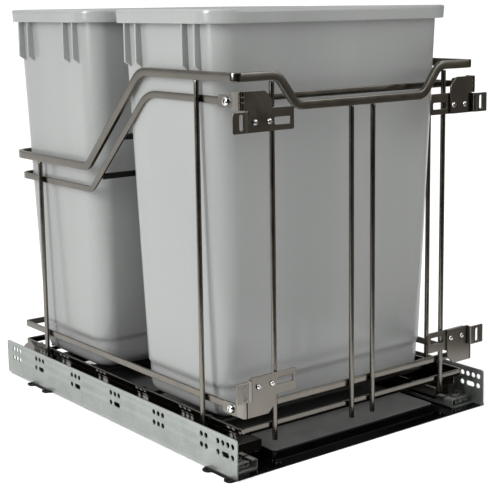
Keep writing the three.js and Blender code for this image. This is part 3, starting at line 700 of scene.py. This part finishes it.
def make_profiles():
    for side, s in (("left", -1), ("right", 1)):
        bm = bmesh.new()
        holes = [circle_pts(y, 38.5, 3.2, 28) for y in TOP_ROW] + [circle_pts(y, 26, 3.2, 28) for y in LOW_ROW]
        holes += [slot_pts(y - 6.8, y + 6.8, 22.9, 29.1, 3.05) for y in LOW_SLOTS]
        plate(bm, slot_pts(0, 533, 2, 48, 3.5), holes, 196.0, 197.5, "x", 0.2, s)
        sec = sheet_section([(195.98, 2.75), (157.45, 2.75), (157.45, 13.25), (164.4, 13.25)], [1.9, 1.7], 1.5)
        prism(bm, sec, 16, 529, "y", 0.2, s)
        finish_mesh(bm, f"{side}_profile_sheet", ZINC, f"{side}_cabinet_profile", "base", 16)


DECK_X, DECK_TOP = 131.5, 14.0


def make_base_pan():
    w, r, span_y = 13.0, 5.0, 53.0
    ear = []
    for i in range(7):
        a = math.radians(-90 + 90 * i / 6)
        ear.append((206 - r + r * math.cos(a), r + r * math.sin(a)))
    for i in range(7):
        a = math.radians(90 * i / 6)
        ear.append((206 - r + r * math.cos(a), w - r + r * math.sin(a)))
    neck = [(201.6, w + 0.1), (200.6, w + 0.7), (200.2, w + 1.8)]
    half = ear + neck
    pair = half + [(x, span_y - y) for x, y in reversed(half)]
    y0, L = 4.0, 461.0
    front = [(x, y + y0) for x, y in pair]
    rear = [(x, y + y0 + L - span_y) for x, y in pair]
    waist = [(201.0, 57.6), (197.5, 59.2), (189.5, 62.2), (188.2, 63.6), (188.0, 65.5)]
    waist += [(x, 469 - y) for x, y in reversed(waist)]
    right = front + waist + rear
    outline = right + [(-x, y) for x, y in reversed(right)]
    holes = []
    for s in (-1, 1):
        for y in (10.5, 50.5, 418.5, 458.5):
            holes.append(circle_pts(s * 202.2, y, 2.1, 22))
        holes.append(circle_pts(s * 165.5, 30.0, 2.1, 18))
    holes.append(slot_pts(-DECK_X + 1.0, DECK_X - 1.0, 21.4, 447.6, 5.4))
    bm = bmesh.new()
    plate(bm, outline, holes, 0.0, 2.0, "z", 0.3)
    # raised middle: the sheet turns up, over and down again all round
    hx, hy, yc, rc = DECK_X, (449.5 - 19.5) / 2, 234.5, 6.0
    def ring(inset, z):
        return [W(x, y, z) for x, y in slot_pts(-hx + inset, hx - inset, yc - hy + inset, yc + hy - inset, max(rc - inset * 0.5, 1.5), 10)]
    t = DECK_TOP
    prof = [(-0.4, 0.25), (-0.4, 1.9), (0.1, 2.02), (0.55, 2.3), (0.85, 2.9), (0.95, 3.6)]
    prof += [(0.95 + 1.05 * k / 5, 3.6 + (t - 2.3 - 3.6) * k / 5) for k in range(1, 6)]
    for a in range(15, 91, 15):
        c, q = math.cos(math.radians(a)), math.sin(math.radians(a))
        prof.append((2.0 + 2.3 * (1 - c), t - 2.3 + 2.3 * q))
    prof += [(7.0, t), (14.0, t - 0.02), (30.0, t - 0.05), (60.0, t - 0.10), (100.0, t - 0.12), (122.0, t - 0.12)]
    under = [(122.0, t - 2.0), (60.0, t - 2.0), (14.0, t - 2.0), (5.2, t - 2.0), (4.1, t - 2.5), (3.6, t - 3.4), (2.9, 3.4), (2.5, 1.4), (1.6, 0.3), (0.6, 0.05)]
    loft(bm, [ring(i, z) for i, z in prof + under], close_rows=False)
    # flat ends of both skins
    top_ring, low_ring = ring(122.0, t - 0.12), ring(122.0, t - 2.0)
    bm.faces.new([bm.verts.new(p) for p in top_ring])
    bm.faces.new([bm.verts.new(p) for p in reversed(low_ring)])
    # low round buttons pressed up at the front
    for s in (-1, 1):
        rings = []
        for rr, z in ((6.4, 1.4), (6.4, 2.2), (6.25, 3.2), (5.9, 4.6), (5.3, 5.8), (4.5, 6.6), (3.8, 6.9), (3.3, 6.7), (2.9, 6.2), (1.6, 6.05), (0.02, 6.0)):
            rings.append([W(s * 132 + rr * math.cos(2 * math.pi * k / 36), 10.6 + rr * math.sin(2 * math.pi * k / 36), z) for k in range(36)])
        loft(bm, rings, True, True)
    finish_mesh(bm, "base_pan_pressing", BLACK, "base_pan", "base", 20)


def turned(bm, profile, matrix, n=32):
    rings = []
    for r, z in profile:
        rr = max(r, 0.0008)
        rings.append([matrix @ Vector((rr * math.cos(2 * math.pi * k / n), rr * math.sin(2 * math.pi * k / n), z)) for k in range(n)])
    rows = [[bm.verts.new(W(*p)) for p in ring] for ring in rings]
    grid_faces(bm, rows)
    bm.faces.new(list(reversed(rows[0])))
    bm.faces.new(rows[-1])


def screw(name, node, body, at, axis, r_head, h_head, r_shank, length, recess=True, material=None):
    """Pan head standing out along axis, shank behind it, cross recess in the head."""
    q = Vector(axis).to_track_quat("Z", "Y").to_matrix().to_4x4()
    m = Matrix.Translation(Vector(at)) @ q
    prof = [(0, -length), (r_shank * 0.8, -length), (r_shank, -length + 0.5), (r_shank, 0.0), (r_head * 0.94, 0.0), (r_head, 0.18)]
    for i in range(1, 8):
        a = math.radians(90 * i / 8)
        prof.append((r_head * (0.62 + 0.38 * math.cos(a)), h_head * (0.12 + 0.80 * math.sin(a))))
    prof += [(r_head * 0.60, h_head * 0.94), (r_head * 0.3, h_head * 0.99), (0, h_head)]
    bm = bmesh.new()
    turned(bm, prof, m)
    o = finish_mesh(bm, name, material or CHROME, node, body, 40)
    if recess:
        cb = bmesh.new()
        k, wd, dp = r_head * 0.56, r_head * 0.17, h_head * 0.62
        for a, b in ((k, wd), (wd, k)):
            v = []
            for z, f in ((h_head + 0.6, 1.0), (h_head - dp, 0.55)):
                for sx, sy in ((-1, -1), (1, -1), (1, 1), (-1, 1)):
                    fa = f if a > b else 0.9
                    fb = f if b > a else 0.9
                    v.append(cb.verts.new(W(*(m @ Vector((sx * a * fa, sy * b * fb, z))))))
            cb.faces.new(v[0:4]); cb.faces.new(v[7:3:-1])
            for i in range(4):
                j = (i + 1) % 4
                cb.faces.new((v[i], v[i + 4], v[j + 4], v[j]))
        bmesh.ops.recalc_face_normals(cb, faces=cb.faces)
        cme = bpy.data.meshes.new("cutter")
        cb.to_mesh(cme)
        cb.free()
        cut = bpy.data.objects.new("cutter", cme)
        bpy.context.scene.collection.objects.link(cut)
        md = o.modifiers.new("recess", "BOOLEAN")
        md.operation = "DIFFERENCE"
        md.solver = "EXACT"
        md.use_self = True
        md.object = cut
        dg = bpy.context.evaluated_depsgraph_get()
        me = bpy.data.meshes.new_from_object(o.evaluated_get(dg))
        o.modifiers.clear()
        old = o.data
        o.data = me
        bpy.data.meshes.remove(old)
        for p in me.polygons:
            p.use_smooth = True
        me.set_sharp_from_angle(angle=math.radians(38))
        bpy.data.objects.remove(cut)
    return o


def make_brackets():
    screw_x = (142.0, 161.5)
    for level, f, flip, sz in (("upper", lambda v: v, False, SEC_HIGH), ("lower", lambda v: 487.5 - v, True, 72.5)):
        lohi = lambda a, b: (f(b), f(a)) if flip else (f(a), f(b))
        for side, s in (("left", -1), ("right", 1)):
            # plate with its fold, tongue and stepped tab
            bm = bmesh.new()
            pts = [(137.5, 377.5), (174.2, 377.5), (174.2, 401.5), (178.4, 401.5), (178.4, 421.5), (147.5, 421.5), (137.5, 411.5)]
            main = []
            n = len(pts)
            for i, (x, z) in enumerate(pts):            # small radii on the outer corners
                a, c = Vector(pts[i - 1]), Vector(pts[(i + 1) % n])
                p = Vector((x, z))
                r = 0.1 if x > 170 else 1.6
                d1, d2 = (a - p).normalized(), (c - p).normalized()
                for t in (0, 0.25, 0.5, 0.75, 1):
                    q = (p + d1 * r) * (1 - t) ** 2 + p * 2 * t * (1 - t) + (p + d2 * r) * t ** 2
                    main.append((q.x, f(q.y)))
            plate(bm, main, [circle_pts(x, f(388.3), 2.1, 20) for x in screw_x], 7.2, 9.2, "y", 0.28, s)
            z0, z1 = lohi(401.5, 421.5)
            fold = sheet_section([(176.6, 8.2), (180.4, 8.2), (180.4, 22.0)], [1.9], 2.0)
            prism(bm, fold, z0, z1, "z", 0.28, s)
            z0, z1 = lohi(378.0, 401.0)
            step = sheet_section([(170.8, 8.2), (174.0, 8.2), (174.0, 2.3), (179.6, 2.3)], [1.15, 1.6], 2.0, 8)
            prism(bm, step, z0, z1, "z", 0.28, s)
            a, b = lohi(381.5, 398.3)
            plate(bm, slot_pts(178.8, 195.0, z0, z1, 1.4), [slot_pts(181.7, 186.7, a, b, 2.4)], 1.3, 3.3, "y", 0.45, s)
            if level == "upper":                        # two short ribs pressed into the plate
                for z in (409.6, 415.2):
                    prism(bm, slot_pts(175.0, 180.0, z - 0.75, z + 0.75, 0.7, 4), 6.72, 7.6, "y", 0.25, s)
            plate(bm, slot_pts(20.0, 46.0, sz - 7, sz + 7, 4.2), [circle_pts(30.5, sz, 2.5, 24)], 179.3, 181.5, "x", 0.28, s)
            finish_mesh(bm, f"{level}_{side}_bracket_plate", NICKEL, f"{level}_{side}_door_bracket", "carriage", 16)
            # slotted arm
            bm = bmesh.new()
            z0, z1 = lohi(377.5, 402.5)
            a, b = lohi(384.0, 392.0)
            plate(bm, slot_pts(105.8, 169.5, z0, z1, 2.0), [slot_pts(110, 133, a, b, 1.6)] + [circle_pts(x, f(388.3), 2.1, 20) for x in screw_x],
                  9.5, 11.7, "y", 0.28, s)
            finish_mesh(bm, f"{level}_{side}_arm_strip", NICKEL, f"{level}_{side}_bracket_arm", "carriage", 16)
            for which, x in zip(("inner", "outer"), screw_x):
                screw(f"{level}_{side}_{which}_pan_screw", f"{level}_{side}_bracket_{which}_screw", "carriage",
                      (s * x, 6.9, f(388.3)), (0, -1, 0), 3.2, 2.0, 1.7, 4.6)
            screw(f"{level}_{side}_side_pan_screw", f"{level}_{side}_bracket_side_screw", "carriage",
                  (s * 181.8, 30.5, sz), (s, 0, 0), 5.0, 3.0, 2.0, 6.0)


def make_rivets():
    for side, s in (("left", -1), ("right", 1)):
        screw(f"{side}_rivet_head", f"{side}_profile_rivet", "base",
              (s * 165.5, 30, 3.8), (0, 0, 1), 2.9, 1.4, 1.7, 3.4, recess=False, material=ZINC)


# ----------------------------------------------------------------------- bins
BIN_Y, BIN_PITCH = 153.8, 261.0
WALL = (177.0, 98.0, 28.0, 1.5)
RIM = (187.0, 109.5, 38.0, 3.0)


def bin_ring(shape, inset, z, yc, n=14, m=12):
    """One closed outline: half sizes, corner radius and bow, drawn in by inset."""
    hx, hy, r, bow = shape
    sx, sy = (hx - inset) / hx, (hy - inset) / hy
    pts = []

    def corner(cx, cy, a0):
        for i in range(n + 1):
            a = math.radians(a0 + 90 * i / n)
            pts.append((cx + r * math.cos(a), cy + r * math.sin(a)))

    corner(hx - r, -hy + r, -90)
    for i in range(1, m):
        pts.append((hx, -hy + r + (2 * hy - 2 * r) * i / m))
    corner(hx - r, hy - r, 0)
    for i in range(1, 2 * m):
        f = 1 - i / m
        pts.append(((hx - r) * f, hy + bow * (1 - f * f)))
    corner(-hx + r, hy - r, 90)
    for i in range(1, m):
        pts.append((-hx, hy - r - (2 * hy - 2 * r) * i / m))
    corner(-hx + r, -hy + r, 180)
    for i in range(1, 2 * m):
        f = -1 + i / m
        pts.append(((hx - r) * f, -hy - bow * (1 - f * f)))
    return [W(x * sx, y * sy + yc, z) for x, y in pts]


def make_bin(name, node, body, yc):
    taper = lambda z: 0.033 * (491.0 - z)
    w = 2.6
    R = []                                              # (shape, inset, z) from the inside floor round to the underside
    z0 = 40.5
    R += [(WALL, 70, z0 + w + 0.1), (WALL, taper(z0) + 28, z0 + w + 0.05), (WALL, taper(z0) + 18.5, z0 + w + 0.15)]
    for a in range(0, 91, 15):                          # inside foot radius
        c, s = math.cos(math.radians(a)), math.sin(math.radians(a))
        R.append((WALL, taper(z0 + 12) + 1.4 + w + 13.0 * (1 - s), z0 + w + 12.5 * (1 - c) + 0.2))
    for z in np.linspace(z0 + 17, z0 + 35, 4):
        R.append((WALL, taper(z) + 1.4 + w, z))
    R += [(WALL, taper(z0 + 38) + 1.15 + w, z0 + 38), (WALL, taper(z0 + 40.8) + 0.3 + w, z0 + 40.8), (WALL, taper(z0 + 42.5) + w, z0 + 42.5)]
    for z in np.linspace(z0 + 48, 502.5, 34):
        R.append((WALL, taper(z) + w, z))
    R += [(WALL, taper(504) + w - 0.15, 504.6), (WALL, taper(505) + w - 0.7, 505.9), (WALL, taper(506) + w - 1.7, 506.7), (WALL, taper(507) + w - 3.0, 507.0)]
    R += [(RIM, 5.5, 507.0), (RIM, 2.2, 506.9), (RIM, 0.9, 506.35), (RIM, 0.25, 505.3), (RIM, 0.0, 504.0)]
    for z in np.linspace(502, 494, 5):
        R.append((RIM, 0.6 * (504 - z) / 13.0, z))
    R += [(RIM, 0.55, 492.4), (RIM, 0.75, 491.5), (RIM, 1.3, 491.05), (RIM, 2.0, 491.05), (RIM, 2.6, 491.5), (RIM, 2.75, 492.6)]
    for z in np.linspace(495, 502, 3):
        R.append((RIM, 2.6, z))
    R += [(RIM, 2.9, 503.6), (RIM, 4.2, 504.4)]
    R += [(WALL, taper(504) - 1.6, 504.4), (WALL, taper(503) - 0.4, 503.9), (WALL, taper(502), 502.6)]
    for z in np.linspace(499, z0 + 46, 40):
        R.append((WALL, taper(z), z))
    R += [(WALL, taper(z0 + 42.5), z0 + 42.5), (WALL, taper(z0 + 41.2) + 0.22, z0 + 41.2), (WALL, taper(z0 + 38.6) + 1.15, z0 + 38.6), (WALL, taper(z0 + 36.8) + 1.4, z0 + 36.8)]
    for z in np.linspace(z0 + 33, z0 + 18, 4):
        R.append((WALL, taper(z) + 1.4, z))
    for a in range(90, -1, -10):                        # outside foot radius
        c, s = math.cos(math.radians(a)), math.sin(math.radians(a))
        R.append((WALL, taper(z0 + 12) + 1.5 + 15.0 * (1 - s), z0 + 15.5 * (1 - c) + 0.0))
    R += [(WALL, taper(z0) + 20.0, z0 + 0.0), (WALL, taper(z0) + 23.0, z0 + 0.5), (WALL, taper(z0) + 25.0, z0 + 0.9), (WALL, 62, z0 + 1.0), (WALL, 84, z0 + 1.0)]
    bm = bmesh.new()
    rows = [[bm.verts.new(p) for p in bin_ring(sh, ins, z, yc)] for sh, ins, z in R]
    grid_faces(bm, rows)
    for row in (rows[0], rows[-1]):
        bmesh.ops.contextual_create(bm, geom=row)
    # stiffening fins under the rim, on the short sides
    for s in (-1, 1):
        for yo in (-70.0, -46.5, 46.5, 70.0):
            prof = [(174.0, 438.6), (176.2, 441.2), (183.4, 445.6), (184.0, 446.6), (184.0, 503.8), (174.0, 503.8)]
            ring_y = [(yc + yo - 1.5, 0.35), (yc + yo - 1.15, 0.0), (yc + yo + 1.15, 0.0), (yc + yo + 1.5, 0.35)]
            rings = []
            cxm, czm = 178.0, 474.0
            for y, k in ring_y:
                rings.append([W(s * (x - (k if x > cxm else 0)), y, z + (k if z < 450 else 0)) for x, z in prof])
            loft(bm, rings, True, True)
    finish_mesh(bm, name, PLASTIC, node, body, 36)


make_top_rail()
make_second_rail()
make_base_loops()
make_rods()
make_wires_and_straps()
make_runners()
make_slides()
make_profiles()
make_base_pan()
make_brackets()
make_rivets()
make_bin("front_waste_bin", "front_bin", "front_bin_body", BIN_Y)
make_bin("rear_waste_bin", "rear_bin", "rear_bin_body", BIN_Y + BIN_PITCH)

# ---------------------------------------------------------------- the studio
scene = bpy.context.scene
scene.view_settings.view_transform = "Standard"
scene.view_settings.look = "None"
scene.view_settings.exposure = 0.0
scene.view_settings.gamma = 1.0

fm, fnt, fb = new_material("studio_floor")
fb.inputs["Base Color"].default_value = (0.965, 0.965, 0.965, 1.0)
fb.inputs["Roughness"].default_value = 0.9
fb.inputs["Specular IOR Level"].default_value = 0.1
bpy.ops.mesh.primitive_circle_add(vertices=96, radius=40.0, fill_type="NGON", location=(0, 0, 0))
floor = bpy.context.active_object
floor.name = "studio_floor"
floor.data.materials.append(fm)

HORIZON, OVERHEAD, SIDE_TILT = 0.40, 1.62, 0.20
world = bpy.data.worlds.new("studio_world")
scene.world = world
world.use_nodes = True
wnt = world.node_tree
bg = wnt.nodes["Background"]
bg.inputs["Strength"].default_value = 1.0
# soft tent: brightest overhead and on the left, dimmer towards the horizon
wtc = wnt.nodes.new("ShaderNodeTexCoord")
wsep = wnt.nodes.new("ShaderNodeSeparateXYZ")
wnt.links.new(wtc.outputs["Generated"], wsep.inputs["Vector"])
lift = span(wnt, wsep.outputs["Z"], HORIZON, OVERHEAD, 0.0, 1.0)
tilt = span(wnt, wsep.outputs["X"], 1.0 + SIDE_TILT, 1.0 - SIDE_TILT, -1.0, 1.0)
glow = mix_value(wnt, lift, tilt, "MULTIPLY")
lp = wnt.nodes.new("ShaderNodeLightPath")
wmix = wnt.nodes.new("ShaderNodeMix")
wmix.data_type = "FLOAT"
wnt.links.new(lp.outputs["Is Camera Ray"], wmix.inputs[0])
wnt.links.new(glow, wmix.inputs[2])
wmix.inputs[3].default_value = 1.1
wnt.links.new(wmix.outputs[0], bg.inputs["Strength"])
bg.inputs["Color"].default_value = (1.0, 1.0, 1.0, 1.0)


def area(name, at, target, size, size_y, power, color=(1, 1, 1)):
    li = bpy.data.lights.new(name, "AREA")
    li.shape = "RECTANGLE"
    li.size, li.size_y = size, size_y
    li.energy = power
    li.color = color
    o = bpy.data.objects.new(name, li)
    scene.collection.objects.link(o)
    o.location = at
    o.rotation_mode = "QUATERNION"
    o.rotation_quaternion = (Vector(target) - Vector(at)).to_track_quat("-Z", "Y")
    return o


def dark_flag(name, corners, mat):
    """A black studio flag that only shows in reflections."""
    me = bpy.data.meshes.new(name)
    me.from_pydata([tuple(c) for c in corners], [], [tuple(range(len(corners)))])
    o = bpy.data.objects.new(name, me)
    scene.collection.objects.link(o)
    me.materials.append(mat)
    o.visible_camera = False
    o.visible_diffuse = False
    o.visible_shadow = False
    o.visible_transmission = False
    return o


def flag_material(name, col):
    m, _, b = new_material(name)
    b.inputs["Base Color"].default_value = (*col, 1.0)
    b.inputs["Roughness"].default_value = 1.0
    b.inputs["Specular IOR Level"].default_value = 0.0
    return m


FLAG = flag_material("studio_flag_brown", (0.150, 0.134, 0.118))
FLAG_DARK = flag_material("studio_flag_black", (0.018, 0.016, 0.014))
SPLIT = 0.15
dark_flag("flag_low_left", [(-0.50, -0.60, 0.004), (-3.0, 1.75, 0.004), (-3.0, -2.4, 0.004), (SPLIT, -2.4, 0.004), (SPLIT - 0.25, -0.60, 0.004)], FLAG_DARK)
dark_flag("flag_strip", [(-0.26, -0.340, 0.0006), (0.40, -0.340, 0.0006), (0.40, -0.2640, 0.0006), (-0.21, -0.2640, 0.0006)], FLAG_DARK)
dark_flag("flag_low_right", [(SPLIT - 0.25, -0.60, 0.004), (SPLIT, -2.4, 0.004), (3.6, -2.4, 0.004), (3.6, -0.10, 0.004), (1.20, -0.10, 0.004), (0.38, -0.425, 0.004), (0.12, -0.57, 0.004)], FLAG)
dark_flag("flag_front_left", [(-3.0, -2.4, 0.0), (SPLIT, -2.4, 0.0), (SPLIT, -2.4, 3.2), (-3.0, -2.4, 3.2)], FLAG_DARK)
dark_flag("flag_front_right", [(SPLIT, -2.4, 0.0), (3.6, -2.4, 0.0), (3.6, -2.4, 3.2), (SPLIT, -2.4, 3.2)], FLAG)
dark_flag("flag_right", [(3.6, -2.4, 0.0), (3.6, 1.2, 0.0), (3.6, 1.2, 3.2), (3.6, -2.4, 3.2)], FLAG_DARK)
dark_flag("flag_left", [(-3.0, -2.4, 0.0), (-3.0, 1.75, 0.0), (-3.0, 1.75, 3.2), (-3.0, -2.4, 3.2)], FLAG_DARK)

key = area("key_softbox", (-1.40, -0.30, 0.90), (-0.17, -0.20, 0.40), 0.30, 1.05, 8.8)
key.visible_camera = False
key.data.spread = math.radians(110)
fill = area("fill_softbox", (0.90, -1.50, 1.00), (0.0, -0.27, 0.30), 0.90, 0.90, 7.8)
fill.visible_camera = False

# camera
cam_data = bpy.data.cameras.new("camera")
cam = bpy.data.objects.new("camera", cam_data)
scene.collection.objects.link(cam)
C = (-961.9, -1009.8, 512.2)
YAW, PITCH, ROLL = math.radians(37.81), math.radians(9.38), math.radians(-0.79)
F_PX, CX, CY = 1232.9, 247.7, 205.0
cam.location = W(C[0], C[1], C[2] + 2.0)
fwd = Vector((math.sin(YAW) * math.cos(PITCH), math.cos(YAW) * math.cos(PITCH), -math.sin(PITCH)))
right = Vector((math.cos(YAW), -math.sin(YAW), 0.0))
up = right.cross(fwd)
r2 = right * math.cos(ROLL) + up * math.sin(ROLL)
u2 = -right * math.sin(ROLL) + up * math.cos(ROLL)
rot = Matrix((r2, u2, -fwd)).transposed()
cam.rotation_mode = "QUATERNION"
cam.rotation_quaternion = rot.to_quaternion()
cam_data.sensor_width = 36.0
cam_data.lens = 36.0 * F_PX / 490.0
cam_data.shift_x = (245.0 - CX) / 490.0
cam_data.shift_y = (CY - 245.0) / 490.0
cam_data.clip_start, cam_data.clip_end = 0.05, 100.0
scene.camera = cam
